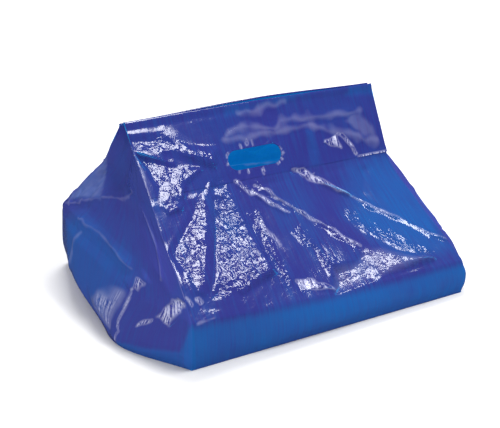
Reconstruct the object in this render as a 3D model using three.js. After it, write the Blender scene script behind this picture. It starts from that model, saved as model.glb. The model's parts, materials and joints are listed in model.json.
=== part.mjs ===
// Gusseted film bag with a turned-over top and punched hand holes, standing half collapsed.
// Millimetres, +Z up, X along the bag's width, Y from its front to its back.
// The bag's film is split at its folds and welds, so that each panel that moves is a node of its own.

import * as THREE from 'three';

// Film and gaps
const FILM = 1.2; // thickness of a film panel
const SEAM_GAP = 0.4; // between two panels that meet at a fold
const LAYER_GAP = 0.3; // between two layers that lie on each other
const NECK_GAP = 4; // clear strip on each side of a neck fold, where the film bends

// Bag top
const HEM_BOTTOM = 12; // loose lower edge of the turned-over top, from the neck fold
const HAND_HOLE = { width: 92, height: 30, x: -31, y: 42, arcSteps: 6 };
const PATCH = { width: 168, height: 66, x: -24, y: 44, corner: 10 };

// Neck gussets: the side film between the front and the back of the bag top
const GUSSET_HEIGHT = 118; // from the neck fold up to the mouth
const GUSSET_INSET = 4; // from the mouth's corners
const GUSSET_TUCK = 6; // how far its middle crease is folded in
const GUSSET_CREASE_GAP = 1.5; // from the crease to each half
const GUSSET_ROWS = 4; // points up each edge

// Bottom seal
const SEAL_WIDTH = 8;
const SEAL_HEIGHT = 2;
const SEAL_END_GAP = 2; // from the seal's ends to the side film
const SEAL_Y = 187; // from the front left corner of the base

// Middle of the footprint, measured from the front left corner of the base
const FOOTPRINT_MIDDLE = new THREE.Vector3(200, 178, 0);

// Fold lines of the body, each from the floor to the neck fold, measured from the front left corner.
// Heights: floor, middle of the low wall, shoulder, two on the slope, neck fold.
const FOLDS = {
  frontLeft: [[0, 0, 0], [-2, -8, 42], [-2, -9, 86], [0, 30, 128], [0, 76, 166], [0, 118, 209]],
  frontMiddle: [[228, -9, 0], [228, -20, 32], [228, -6, 62], [226, 40, 98], [220, 88, 138], [213, 134, 186]],
  frontRight: [[456, -18, 0], [460, -22, 28], [456, -14, 56], [446, 24, 83], [436, 92, 118], [426, 150, 163]],
  rightQuarter: [[468, 75, 0], [478, 72, 34], [474, 76, 68], [462, 105, 98], [450, 140, 128], [430, 185, 165]],
  rightMiddle: [[472, 187, 0], [484, 184, 38], [482, 184, 76], [466, 190, 108], [450, 202, 138], [428, 218, 167]],
  backRight: [[430, 352, 0], [440, 354, 35], [440, 348, 72], [436, 330, 108], [430, 308, 140], [422, 284, 170]],
  backMiddle: [[195, 370, 0], [195, 378, 40], [198, 364, 86], [202, 340, 126], [205, 314, 158], [207, 282, 190]],
  backLeft: [[-51, 349, 0], [-60, 346, 50], [-60, 338, 109], [-44, 318, 147], [-26, 300, 177], [-7, 280, 210]],
  leftMiddle: [[-66, 187, 0], [-84, 206, 46], [-72, 216, 104], [-46, 218, 142], [-22, 216, 176], [0, 214, 204]],
  leftQuarter: [[-70, 110, 0], [-66, 104, 44], [-46, 92, 92], [-30, 104, 130], [-18, 128, 168], [-6, 164, 206]],
};
const SHOULDER = 2; // index of the shoulder's height
const NECK = 5; // index of the neck fold's height

// Mouth: the top edges of the front and the back
const MOUTH = {
  frontLeft: [1, 172, 306],
  frontRight: [414, 209, 269],
  backLeft: [-4, 214, 298],
  backRight: [413, 219, 269],
};

const PALETTE = {
  panel: 0x3a409f,
  gusset: 0x30479f,
  hem: 0x34389a,
  patch: 0x2a5fb0,
  base: 0x2f55ab,
  seal: 0x27368c,
};

const point = (values) => new THREE.Vector3(...values);

function film(name, geometry, colour) {
  const material = new THREE.MeshStandardMaterial({ color: colour, roughness: 0.28, metalness: 0 });
  const mesh = new THREE.Mesh(geometry, material);
  mesh.name = name;
  return mesh;
}

// --- Body: one ring of fold lines, thickened inwards and split into panels -----------------------

// A parabola through three points, at a share of the way from the first to the last.
function bowed(first, middle, last, share) {
  const a = (1 - share) * (1 - 2 * share);
  const b = 4 * share * (1 - share);
  const c = share * (2 * share - 1);
  return first.clone().multiplyScalar(a).addScaledVector(middle, b).addScaledVector(last, c);
}

// Fold lines of the whole ring, with two extra lines bowed in on the front and on the back.
function ringOfLines() {
  const line = (name) => FOLDS[name].map(point);
  const between = (a, b, c, share) => line(a).map((p, i) => bowed(p, line(b)[i], line(c)[i], share));
  return [
    line('frontLeft'),
    between('frontLeft', 'frontMiddle', 'frontRight', 0.25),
    line('frontMiddle'),
    between('frontLeft', 'frontMiddle', 'frontRight', 0.75),
    line('frontRight'),
    line('rightQuarter'),
    line('rightMiddle'),
    line('backRight'),
    between('backRight', 'backMiddle', 'backLeft', 0.25),
    line('backMiddle'),
    between('backRight', 'backMiddle', 'backLeft', 0.75),
    line('backLeft'),
    line('leftMiddle'),
    line('leftQuarter'),
  ];
}

// The first point is lifted off the base film and the last stops short of the neck fold.
function trimmed(line) {
  const points = line.map((p) => p.clone());
  points[0].z = FILM + LAYER_GAP;
  const down = points[NECK - 1].clone().sub(points[NECK]).setLength(NECK_GAP);
  points[NECK].add(down);
  return points;
}

const LINES = ringOfLines().map(trimmed);
const wrap = (i) => (i + LINES.length) % LINES.length;

// Outward direction of the film at one point of the ring.
function outward(i, j) {
  const around = LINES[wrap(i + 1)][j].clone().sub(LINES[wrap(i - 1)][j]);
  const up = LINES[wrap(i)][Math.min(j + 1, NECK)].clone().sub(LINES[wrap(i)][Math.max(j - 1, 0)]);
  return around.cross(up).normalize();
}

// One closed panel between two fold lines and two heights, with mitred edges.
function panel(from, to, low, high) {
  const columns = to - from + 1;
  const rows = high - low + 1;
  const outer = [];
  for (let c = 0; c < columns; c += 1) {
    for (let r = 0; r < rows; r += 1) {
      outer.push({ at: LINES[wrap(from + c)][low + r].clone(), out: outward(from + c, low + r) });
    }
  }
  const index = (c, r) => c * rows + r;
  const steps = outer.map((_, k) => {
    const c = Math.floor(k / rows);
    const r = k % rows;
    const step = new THREE.Vector3();
    if (c === 0) step.add(towards(outer[index(1, r)].at, outer[k].at));
    if (c === columns - 1) step.add(towards(outer[index(c - 1, r)].at, outer[k].at));
    if (r === 0 && low > 0) step.add(towards(outer[index(c, 1)].at, outer[k].at));
    if (r === rows - 1 && high < NECK) step.add(towards(outer[index(c, r - 1)].at, outer[k].at));
    return step;
  });
  const front = outer.map(({ at }, k) => at.clone().add(steps[k]));
  const back = outer.map(({ at, out }, k) => at.clone().add(steps[k]).addScaledVector(out, -FILM));
  return sheetGeometry(front, back, columns, rows);
}

// Half of a seam's gap, from one point towards another.
function towards(target, start) {
  return target.clone().sub(start).setLength(SEAM_GAP / 2);
}

// Closed geometry from two grids of points that face away from each other.
function sheetGeometry(front, back, columns, rows) {
  const positions = [...front, ...back].flatMap((p) => [p.x, p.y, p.z]);
  const f = (c, r) => c * rows + r;
  const b = (c, r) => front.length + f(c, r);
  const faces = [];
  const quad = (p, q, r, s) => faces.push(p, q, r, p, r, s);
  for (let c = 0; c < columns - 1; c += 1) {
    for (let r = 0; r < rows - 1; r += 1) {
      quad(f(c, r), f(c + 1, r), f(c + 1, r + 1), f(c, r + 1));
      quad(b(c, r), b(c, r + 1), b(c + 1, r + 1), b(c + 1, r));
    }
    quad(b(c, 0), b(c + 1, 0), f(c + 1, 0), f(c, 0));
    quad(f(c, rows - 1), f(c + 1, rows - 1), b(c + 1, rows - 1), b(c, rows - 1));
  }
  for (let r = 0; r < rows - 1; r += 1) {
    quad(b(0, r), f(0, r), f(0, r + 1), b(0, r + 1));
    quad(f(columns - 1, r), b(columns - 1, r), b(columns - 1, r + 1), f(columns - 1, r + 1));
  }
  const geometry = new THREE.BufferGeometry();
  geometry.setAttribute('position', new THREE.Float32BufferAttribute(positions, 3));
  geometry.setIndex(faces);
  geometry.computeVertexNormals();
  return geometry;
}

function bodyPanels() {
  const count = LINES.length;
  return [
    film('front_low_wall', panel(0, 4, 0, SHOULDER), PALETTE.panel),
    film('front_slope_panel', panel(0, 4, SHOULDER, NECK), PALETTE.panel),
    film('right_gusset_front', panel(4, 6, 0, NECK), PALETTE.gusset),
    film('right_gusset_back', panel(6, 7, 0, NECK), PALETTE.gusset),
    film('back_low_wall', panel(7, 11, 0, SHOULDER), PALETTE.panel),
    film('back_slope_panel', panel(7, 11, SHOULDER, NECK), PALETTE.panel),
    film('left_gusset_back', panel(11, 12, 0, NECK), PALETTE.gusset),
    film('left_gusset_front', panel(12, count, 0, NECK), PALETTE.gusset),
  ];
}

// --- Base: two film halves and the seal between them ----------------------------------------------

function flatShape(points) {
  return new THREE.Shape(points.map((p) => new THREE.Vector2(p.x, p.y)));
}

function basePieces() {
  const floor = ringOfLines().map((line) => line[0]);
  const edge = SEAL_WIDTH / 2 + LAYER_GAP;
  const [right, left] = [floor[6], floor[12]];
  const moved = (p, y) => new THREE.Vector3(p.x, SEAL_Y + y, 0);
  const front = [moved(left, -edge), floor[13], ...floor.slice(0, 6), moved(right, -edge)];
  const back = [moved(right, edge), ...floor.slice(7, 12), moved(left, edge)];
  const extrude = (points) => new THREE.ExtrudeGeometry(flatShape(points), {
    depth: FILM,
    bevelEnabled: false,
  });
  return [
    film('base_front', extrude(front), PALETTE.base),
    film('base_back', extrude(back), PALETTE.base),
    bottomSeal(left.x, right.x),
  ];
}

// Welded seam along the bag's width: a flat strip with a raised rib down its middle.
function bottomSeal(leftX, rightX) {
  const w = SEAL_WIDTH / 2;
  const inset = FILM + SEAL_END_GAP;
  const section = new THREE.Shape();
  section.moveTo(-w, 0);
  section.lineTo(w, 0);
  section.lineTo(w, FILM);
  section.lineTo(w / 2, FILM);
  section.lineTo(w / 4, SEAL_HEIGHT);
  section.lineTo(-w / 4, SEAL_HEIGHT);
  section.lineTo(-w / 2, FILM);
  section.lineTo(-w, FILM);
  const length = rightX - leftX - 2 * inset;
  const geometry = new THREE.ExtrudeGeometry(section, { depth: length, bevelEnabled: false });
  const seal = film('bottom_seal', geometry, PALETTE.seal);
  // The section's x lies along Y, its y along Z, and the extrusion runs along X.
  const axes = new THREE.Matrix4().makeBasis(
    new THREE.Vector3(0, 1, 0),
    new THREE.Vector3(0, 0, 1),
    new THREE.Vector3(1, 0, 0),
  );
  seal.quaternion.setFromRotationMatrix(axes);
  seal.position.set(leftX + inset, SEAL_Y, 0);
  return seal;
}

// --- Bag top: layers that lie on one plane from a neck fold up to the mouth -----------------------

// Local frame of one side of the bag top: x along the neck fold, y up to the mouth, z outwards.
class NeckPlane {
  constructor(foldStart, foldEnd, mouthStart, mouthEnd) {
    this.origin = foldStart.clone().add(foldEnd).multiplyScalar(0.5);
    this.length = foldStart.distanceTo(foldEnd);
    this.x = foldEnd.clone().sub(foldStart).normalize();
    const up = mouthStart.clone().add(mouthEnd).multiplyScalar(0.5).sub(this.origin);
    this.y = up.addScaledVector(this.x, -up.dot(this.x)).normalize();
    this.z = this.x.clone().cross(this.y);
    this.mouth = [this.local(mouthStart), this.local(mouthEnd)];
  }

  local(p) {
    const d = p.clone().sub(this.origin);
    return new THREE.Vector2(d.dot(this.x), d.dot(this.y));
  }

  // Point on a side edge of the bag top, at a height above the fold: end 0 is the start.
  edge(end, height) {
    const fold = (end - 0.5) * this.length;
    const share = height / this.mouth[end].y;
    return new THREE.Vector2(fold + (this.mouth[end].x - fold) * share, height);
  }

  group() {
    const group = new THREE.Group();
    group.quaternion.setFromRotationMatrix(new THREE.Matrix4().makeBasis(this.x, this.y, this.z));
    group.position.copy(this.origin);
    return group;
  }
}

// Band of film from a height above the fold up to the mouth.
function bandShape(plane, low) {
  return new THREE.Shape([plane.edge(0, low), plane.edge(1, low), plane.mouth[1], plane.mouth[0]]);
}

// Oblong with round ends, the punched hand hole.
function handHole(x, y) {
  const r = HAND_HOLE.height / 2;
  const half = HAND_HOLE.width / 2 - r;
  const hole = new THREE.Path();
  hole.moveTo(x - half, y - r);
  hole.lineTo(x + half, y - r);
  hole.absarc(x + half, y, r, -Math.PI / 2, Math.PI / 2, false);
  hole.lineTo(x - half, y + r);
  hole.absarc(x - half, y, r, Math.PI / 2, 1.5 * Math.PI, false);
  return hole;
}

function patchShape(x, y) {
  const w = PATCH.width / 2;
  const h = PATCH.height / 2;
  const c = PATCH.corner;
  return new THREE.Shape([
    new THREE.Vector2(x - w + c, y - h),
    new THREE.Vector2(x + w - c, y - h),
    new THREE.Vector2(x + w, y - h + c),
    new THREE.Vector2(x + w, y + h - c),
    new THREE.Vector2(x + w - c, y + h),
    new THREE.Vector2(x - w + c, y + h),
    new THREE.Vector2(x - w, y + h - c),
    new THREE.Vector2(x - w, y - h + c),
  ]);
}

// Upper panel, turned-over hem outside it and reinforcement patch inside it, on one plane.
function bagTop(side, plane, holeX, patchX) {
  const layer = (name, shape, lift, colour) => {
    shape.holes.push(handHole(holeX, HAND_HOLE.y));
    const geometry = new THREE.ExtrudeGeometry(shape, {
      depth: FILM,
      bevelEnabled: false,
      curveSegments: HAND_HOLE.arcSteps,
    });
    const mesh = film(`${side}_${name}`, geometry, colour);
    mesh.position.z = lift;
    return mesh;
  };
  const group = plane.group();
  group.add(
    layer('upper_panel', bandShape(plane, NECK_GAP), -FILM, PALETTE.panel),
    layer('hem', bandShape(plane, HEM_BOTTOM), LAYER_GAP, PALETTE.hem),
    layer('handle_patch', patchShape(patchX, PATCH.y), -2 * FILM - LAYER_GAP, PALETTE.patch),
  );
  return group;
}

const FRONT_PLANE = new NeckPlane(
  point(FOLDS.frontLeft[NECK]),
  point(FOLDS.frontRight[NECK]),
  point(MOUTH.frontLeft),
  point(MOUTH.frontRight),
);
const BACK_PLANE = new NeckPlane(
  point(FOLDS.backRight[NECK]),
  point(FOLDS.backLeft[NECK]),
  point(MOUTH.backRight),
  point(MOUTH.backLeft),
);

// --- Neck gussets ---------------------------------------------------------------------------------

// One half of a neck gusset: from a side edge of the bag top to the crease in the middle.
function neckGusset(name, plane, end, creaseFold, creaseMouth) {
  const inset = (end ? -1 : 1) * GUSSET_INSET;
  const lowest = 2 * NECK_GAP;
  const highest = GUSSET_HEIGHT - 2 * NECK_GAP;
  const edge = [];
  const crease = [];
  for (let r = 0; r < GUSSET_ROWS; r += 1) {
    const height = lowest + (highest - lowest) * (r / (GUSSET_ROWS - 1));
    edge.push(
      plane.origin.clone()
        .addScaledVector(plane.x, plane.edge(end, height).x + inset)
        .addScaledVector(plane.y, height)
        .addScaledVector(plane.z, -FILM - 2 * LAYER_GAP),
    );
    crease.push(creaseFold.clone().lerp(creaseMouth, height / GUSSET_HEIGHT));
  }
  const outer = end ? [...edge, ...crease] : [...crease, ...edge];
  const across = outer[GUSSET_ROWS].clone().sub(outer[0]);
  const out = across.cross(outer[GUSSET_ROWS - 1].clone().sub(outer[0])).normalize();
  const inner = outer.map((p) => p.clone().addScaledVector(out, -FILM));
  return film(name, sheetGeometry(outer, inner, 2, GUSSET_ROWS), PALETTE.gusset);
}

function neckGussets() {
  const halves = [];
  const sides = [
    ['left', 'leftMiddle', MOUTH.frontLeft, MOUTH.backLeft],
    ['right', 'rightMiddle', MOUTH.frontRight, MOUTH.backRight],
  ];
  for (const [side, fold, mouthFront, mouthBack] of sides) {
    const low = point(FOLDS[fold][NECK]);
    const high = point(mouthFront).lerp(point(mouthBack), 0.5);
    const frontEnd = side === 'left' ? 0 : 1;
    const tuck = frontEnd ? -GUSSET_TUCK : GUSSET_TUCK;
    const crease = (p, sign) => p.clone().add(new THREE.Vector3(tuck, sign * GUSSET_CREASE_GAP, 0));
    halves.push(
      neckGusset(`${side}_neck_gusset_front`, FRONT_PLANE, frontEnd, crease(low, -1), crease(high, -1)),
      neckGusset(`${side}_neck_gusset_back`, BACK_PLANE, 1 - frontEnd, crease(low, 1), crease(high, 1)),
    );
  }
  return halves;
}

// --- The bag --------------------------------------------------------------------------------------

const bag = new THREE.Group();
bag.add(
  ...bodyPanels(),
  ...basePieces(),
  bagTop('front', FRONT_PLANE, HAND_HOLE.x, PATCH.x),
  bagTop('back', BACK_PLANE, -HAND_HOLE.x, -PATCH.x),
  ...neckGussets(),
);
bag.position.copy(FOOTPRINT_MIDDLE).negate();

export default bag;
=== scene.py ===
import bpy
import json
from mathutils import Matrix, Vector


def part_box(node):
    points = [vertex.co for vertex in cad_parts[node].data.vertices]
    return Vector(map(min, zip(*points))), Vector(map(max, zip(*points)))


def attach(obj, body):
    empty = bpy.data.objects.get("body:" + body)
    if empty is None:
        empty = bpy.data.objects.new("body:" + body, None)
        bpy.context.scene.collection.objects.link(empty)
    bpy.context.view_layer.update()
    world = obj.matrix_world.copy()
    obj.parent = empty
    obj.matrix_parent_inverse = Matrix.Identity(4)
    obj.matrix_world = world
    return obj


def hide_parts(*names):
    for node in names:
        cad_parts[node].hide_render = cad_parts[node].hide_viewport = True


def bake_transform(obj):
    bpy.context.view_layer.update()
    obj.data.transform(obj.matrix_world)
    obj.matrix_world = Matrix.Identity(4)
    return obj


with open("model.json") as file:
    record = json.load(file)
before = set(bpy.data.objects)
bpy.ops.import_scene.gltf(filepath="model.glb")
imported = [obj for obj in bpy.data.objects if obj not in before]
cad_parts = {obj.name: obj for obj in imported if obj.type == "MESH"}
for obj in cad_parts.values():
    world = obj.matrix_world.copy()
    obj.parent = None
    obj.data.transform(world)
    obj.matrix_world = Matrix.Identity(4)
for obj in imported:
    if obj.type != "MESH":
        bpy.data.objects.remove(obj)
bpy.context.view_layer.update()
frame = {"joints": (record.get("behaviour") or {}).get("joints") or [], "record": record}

import copy
import json
import math

import bpy
import numpy as np
from mathutils import Vector

# A gusseted film bag that stands half collapsed. Its film is one closed skin, worked out as a grid
# in millimetres from the bag's fold lines, and then cut into the real panels and layers.

# --- Fold lines
# Each fold line runs from the floor to the mouth. Heights: floor, low wall, shoulder, two on the
# slope, neck fold, middle of the neck, mouth. Measured from the front left corner of the base.
FOLDS = {
    "front_left": [(0, 0, 0), (-2, -8, 42), (-2, -9, 86), (0, 30, 128), (0, 76, 166),
                   (0, 118, 209), (-1, 162, 257), (-2, 204, 303)],
    "front_middle": [(228, -9, 0), (228, -20, 32), (228, -6, 62), (226, 40, 98), (220, 88, 138),
                     (213, 134, 186), (210, 170, 238), (206.5, 203, 290)],
    "front_right": [(456, -18, 0), (460, -22, 28), (456, -14, 56), (446, 24, 83), (436, 92, 118),
                    (422, 150, 163), (419, 177, 219), (415, 202, 273)],
    "right_quarter": [(468, 75, 0), (478, 72, 32), (474, 76, 61), (460, 105, 88), (444, 140, 119),
                      (426, 185, 160), (416, 194, 219), (404, 204, 272)],
    "right_middle": [(472, 187, 0), (484, 184, 38), (482, 184, 76), (466, 190, 108), (450, 202, 138),
                     (428, 218, 167), (410, 213, 219), (388, 207, 270)],
    "back_right": [(430, 352, 0), (440, 354, 35), (440, 348, 72), (436, 330, 108), (430, 308, 140),
                   (422, 284, 170), (418, 247, 221), (413, 210, 270)],
    "back_middle": [(195, 370, 0), (195, 378, 40), (198, 364, 86), (202, 340, 126), (205, 314, 158),
                    (207.5, 282, 190), (206, 245, 241), (205, 209, 291)],
    "back_left": [(-51, 349, 0), (-60, 346, 50), (-60, 338, 109), (-44, 318, 147), (-26, 300, 177),
                  (-7, 280, 210), (-6, 246, 255), (-5, 210, 298)],
    "left_middle": [(-66, 187, 0), (-84, 206, 46), (-72, 216, 104), (-46, 218, 142), (-22, 216, 176),
                    (0, 214, 204), (12, 211, 250), (26, 206, 297)],
    "left_quarter": [(-70, 110, 0), (-66, 104, 44), (-46, 92, 92), (-30, 104, 130), (-18, 128, 168),
                     (-6, 164, 206), (4, 184, 252), (10, 204, 300)],
}
FOOTPRINT_MIDDLE = np.array([200.0, 178.0, 0.0])  # the frame's origin, from that corner

# Rows of the grid, as shares of its height at each of the eight heights above
LEVELS = np.array([0, 0.1, 0.19, 0.36, 0.52, 0.69, 0.845, 1.0])
SHOULDER = 2
NECK = 5
CELL = 2.1        # grid cell, in millimetres

# Sides of the bag: its fold lines in order, each at its share of the side's width
SIDES = {
    "front": [("front_left", 0), ("front_middle", 0.5), ("front_right", 1)],
    "right": [("front_right", 0), ("right_quarter", 0.27), ("right_middle", 0.56), ("back_right", 1)],
    "back": [("back_right", 0), ("back_middle", 0.5), ("back_left", 1)],
    "left": [("back_left", 0), ("left_middle", 0.42), ("left_quarter", 0.66), ("front_left", 1)],
}
WIDTHS = {"front": 460, "right": 390, "back": 490, "left": 400}  # along the shoulder
HEIGHT = 400  # from the floor to the mouth, over the front


def hermite(values, knots, at):
    """Smooth curve through values at knots, for values with any trailing shape."""
    values = np.asarray(values, float)
    knots = np.asarray(knots, float)
    if len(knots) == 2:
        slopes = np.repeat((values[1:] - values[:1]) / (knots[1] - knots[0]), 2, axis=0)
    else:
        slopes = np.gradient(values, knots, axis=0)
    k = np.clip(np.searchsorted(knots, at, side="right") - 1, 0, len(knots) - 2)
    width = knots[k + 1] - knots[k]
    s = (at - knots[k]) / width
    shape = (-1,) + (1,) * (values.ndim - 1)
    s, width = s.reshape(shape), width.reshape(shape)
    a, b, ma, mb = values[k], values[k + 1], slopes[k] * width, slopes[k + 1] * width
    return (a * (2 * s**3 - 3 * s**2 + 1) + ma * (s**3 - 2 * s**2 + s)
            + b * (3 * s**2 - 2 * s**3) + mb * (s**3 - s**2))


def fold_line(name, rows):
    """One fold line, with a corner at the shoulder and smooth curves below and above it."""
    points = np.array(FOLDS[name], float) - FOOTPRINT_MIDDLE
    corner = LEVELS[SHOULDER]
    low = hermite(points[:SHOULDER + 1], LEVELS[:SHOULDER + 1], rows[rows < corner])
    high = hermite(points[SHOULDER:], LEVELS[SHOULDER:], rows[rows >= corner])
    return np.concatenate([low, high])


def base_grid(cell):
    """Grid of the smooth skin as [column round the bag, row up the bag, xyz], and each side's columns."""
    rows = np.linspace(0, 1, int(HEIGHT / cell) + 1)
    neck_row = int(round(LEVELS[NECK] * (len(rows) - 1)))
    rows = np.concatenate([np.linspace(0, LEVELS[NECK], neck_row + 1),
                           np.linspace(LEVELS[NECK], 1, len(rows) - neck_row)[1:]])
    columns = []
    spans = {}
    start = 0
    for side, lines in SIDES.items():
        count = int(WIDTHS[side] / cell)
        knots = [share for _, share in lines]
        curves = [fold_line(name, rows) for name, _ in lines]
        at = np.arange(count) / count
        columns.append(hermite(curves, knots, at))
        spans[side] = (start, start + count)
        start += count
    return np.concatenate(columns), rows, neck_row, spans


def relax(grid, passes, keep):
    """Rounds the grid's corners. keep is 0 where a point moves freely and 1 where it stays."""
    free = (1 - keep)[..., None] * 0.5
    for _ in range(passes):
        around = (np.roll(grid, 1, 0) + np.roll(grid, -1, 0)) / 2
        up = grid.copy()
        up[:, 1:-1] = (grid[:, 2:] + grid[:, :-2]) / 2
        grid = grid + free * ((around + up) / 2 - grid)
    return grid


def grid_normals(grid):
    """Outward directions of a grid that is closed round the bag."""
    around = np.roll(grid, -1, 0) - np.roll(grid, 1, 0)
    up = np.gradient(grid, axis=1)
    normals = np.cross(around, up)
    return normals / np.maximum(np.linalg.norm(normals, axis=-1, keepdims=True), 1e-9)


# --- The film laid flat
# A place on the film is given as (side, share across it, share up), or in millimetres round the bag
# and up from the floor.
AROUND = sum(WIDTHS.values())
SIDE_START = {"front": 0, "right": WIDTHS["front"], "back": WIDTHS["front"] + WIDTHS["right"],
              "left": AROUND - WIDTHS["left"]}
SEED = 610
TAPER = 14  # a fold fades in and out over this length


def on(side, *places):
    """Places on one side of the bag, each as (share across, share up)."""
    return [(side, *place) for place in places]


def flat_place(place):
    """A place in millimetres round the bag and up from the floor."""
    side, across, up = place
    return np.array([SIDE_START[side] + across * WIDTHS[side], up * HEIGHT])


def short_way(around):
    """A distance round the bag, the short way."""
    return (around + AROUND / 2) % AROUND - AROUND / 2


def distance_to(x, y, start, end):
    """Distance of points from the straight line between two places."""
    (ax, ay), (bx, by) = start, end
    ex, ey = bx - ax, by - ay
    share = np.clip(((x - ax) * ex + (y - ay) * ey) / (ex * ex + ey * ey), 0, 1)
    return np.hypot(x - ax - share * ex, y - ay - share * ey)


def smooth(x):
    """0 below 0, 1 above 1 and a soft step between them."""
    x = np.clip(x, 0, 1)
    return x * x * (3 - 2 * x)


class Film:
    """The film laid flat: one place for each grid point, with the relief and tints drawn on it."""

    def __init__(self, rows, spans):
        across = np.concatenate([
            SIDE_START[side] + WIDTHS[side] * np.arange(b - a) / (b - a)
            for side, (a, b) in spans.items()
        ])
        self.x = np.repeat(across[:, None], len(rows), axis=1)
        self.y = np.repeat(rows[None, :] * HEIGHT, len(across), axis=0)

    def ragged(self, amount, size, seed):
        """The same film with its places shaken, for outlines that aren't straight."""
        other = copy.copy(self)
        other.x = self.x + amount * value_noise(self, size, seed)
        other.y = self.y + amount * value_noise(self, size, seed + 1)
        return other

    def offset(self, origin):
        """Every point's offset from an origin, the short way round the bag."""
        return short_way(self.x - origin[0]), self.y - origin[1]

    def unrolled(self, places):
        """Every point and several places, all as offsets from the first of the places."""
        start = flat_place(places[0])
        steps = [flat_place(place) - start for place in places]
        return *self.offset(start), [(short_way(across), up) for across, up in steps]

    def ridge(self, start, end, height, width, end_width=None):
        """A fold along a line: straight flanks down from a ridge. A negative height is a valley."""
        a = flat_place(start)
        dx, dy = self.offset(a)
        bx, by = flat_place(end) - a
        bx = short_way(bx)
        length = math.hypot(bx, by)
        along = (dx * bx + dy * by) / length
        off = (dy * bx - dx * by) / length
        share = np.clip(along / length, 0, 1)
        wide = width + ((end_width or width) - width) * share
        ends = smooth(along / TAPER + 0.5) * smooth((length - along) / TAPER + 0.5)
        return height * np.maximum(0, 1 - np.abs(off) / wide) * ends

    def path(self, places, height, width):
        """A fold along several places in turn."""
        total = np.zeros_like(self.x)
        for a, b in zip(places, places[1:]):
            part = self.ridge(a, b, height, width)
            total = np.where(np.abs(part) > np.abs(total), part, total)
        return total

    def near(self, places):
        """Distance from a line through several places."""
        x, y, points = self.unrolled(places)
        return np.min([distance_to(x, y, a, b) for a, b in zip(points, points[1:])], axis=0)

    def area(self, places, feather):
        """1 inside an outline and 0 outside it, with a soft edge."""
        x, y, points = self.unrolled(places)
        edges = list(zip(points, points[1:] + points[:1]))
        nearest = np.min([distance_to(x, y, a, b) for a, b in edges], axis=0)
        inside = np.zeros(x.shape, bool)
        for (ax, ay), (bx, by) in edges:
            crosses = (ay > y) != (by > y)
            with np.errstate(divide="ignore", invalid="ignore"):
                inside ^= crosses & (x < (bx - ax) * (y - ay) / (by - ay) + ax)
        signed = np.where(inside, nearest, -nearest)
        return smooth(signed / feather + 0.5)

    def facet(self, places, left, flat, feather):
        """A flat facet turned by degrees to the left and towards lying flat."""
        mask = self.area(places, feather)
        centre = np.mean([flat_place(p) for p in places], axis=0)
        dx, dy = self.offset(centre)
        rise = math.tan(math.radians(left)) * dx - math.tan(math.radians(flat)) * dy
        return mask * rise


def value_noise(film, size, seed):
    """Smooth random heights from -1 to 1 that repeat round the bag. size is their spacing."""
    rng = np.random.default_rng(seed)
    wide = max(3, int(round(AROUND / size)))
    tall = int(HEIGHT / size) + 3
    table = rng.uniform(-1, 1, (wide, tall))
    gx = film.x / AROUND * wide
    gy = film.y / size
    ix, iy = np.floor(gx).astype(int), np.floor(gy).astype(int)
    fx, fy = smooth(gx - ix), smooth(gy - iy)

    def pick(a, b):
        return table[(ix + a) % wide, np.minimum(iy + b, tall - 1)]

    low = pick(0, 0) * (1 - fx) + pick(1, 0) * fx
    high = pick(0, 1) * (1 - fx) + pick(1, 1) * fx
    return low * (1 - fy) + high * fy


# --- Relief of the crumpled film
# Flat facets between the folds, where the film is finely crinkled
WEDGE_LEFT = on("front", (0.24, 0.74), (0.13, 0.63), (0.01, 0.49), (0.04, 0.32), (0.07, 0.31), (0.17, 0.56))
WEDGE_RIGHT = on("front", (0.27, 0.74), (0.30, 0.73), (0.33, 0.34), (0.19, 0.28), (0.10, 0.29), (0.20, 0.55))
TOP_BAND = on(
    "front", (0, 0.94), (0.12, 0.93), (0.21, 0.87), (0.30, 0.85), (0.27, 0.79), (0.10, 0.88), (0, 0.89))
TOP_TRIANGLE = on("front", (0.01, 0.88), (0.16, 0.80), (0.22, 0.79), (0.15, 0.75), (0.10, 0.66),
                  (0.05, 0.65), (0.03, 0.82))
SHOULDER_SHINE = on("front", (0.55, 0.30), (0.64, 0.31), (0.70, 0.36), (0.75, 0.35), (0.81, 0.30),
                    (0.90, 0.25), (0.52, 0.20))
SHOULDER_SPARK = on("front", (0.39, 0.28), (0.44, 0.28), (0.52, 0.21), (0.40, 0.24))

# Thin creases below the handle, and soft streaks along the turned-over top
RAYS = (
    on("front", (0.40, 0.70), (0.52, 0.58), (0.68, 0.38)),
    on("front", (0.34, 0.72), (0.38, 0.67), (0.48, 0.56)),
    [("front", 0.64, 0.69), ("front", 0.75, 0.59), ("front", 0.91, 0.43), ("right", 0.0, 0.34)],
)
RAY_HEAD = on("front", (0.57, 0.72), (0.62, 0.72), (0.66, 0.67), (0.75, 0.59), (0.64, 0.66))
SLOPE_SPARKS = (
    on("front", (0.36, 0.60), (0.34, 0.42), (0.36, 0.27)),
    on("front", (0.49, 0.50), (0.53, 0.36), (0.56, 0.28)),
    on("front", (0.70, 0.52), (0.82, 0.38), (0.90, 0.29)),
)
STREAKS = (
    on("front", (0.36, 0.89), (0.42, 0.91), (0.55, 0.89), (0.60, 0.91), (0.92, 0.90)),
    on("front", (0.35, 0.87), (0.68, 0.88), (0.81, 0.83), (0.96, 0.77)),
    on("front", (0.43, 0.96), (0.50, 0.97), (0.62, 0.98)),
)

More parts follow.
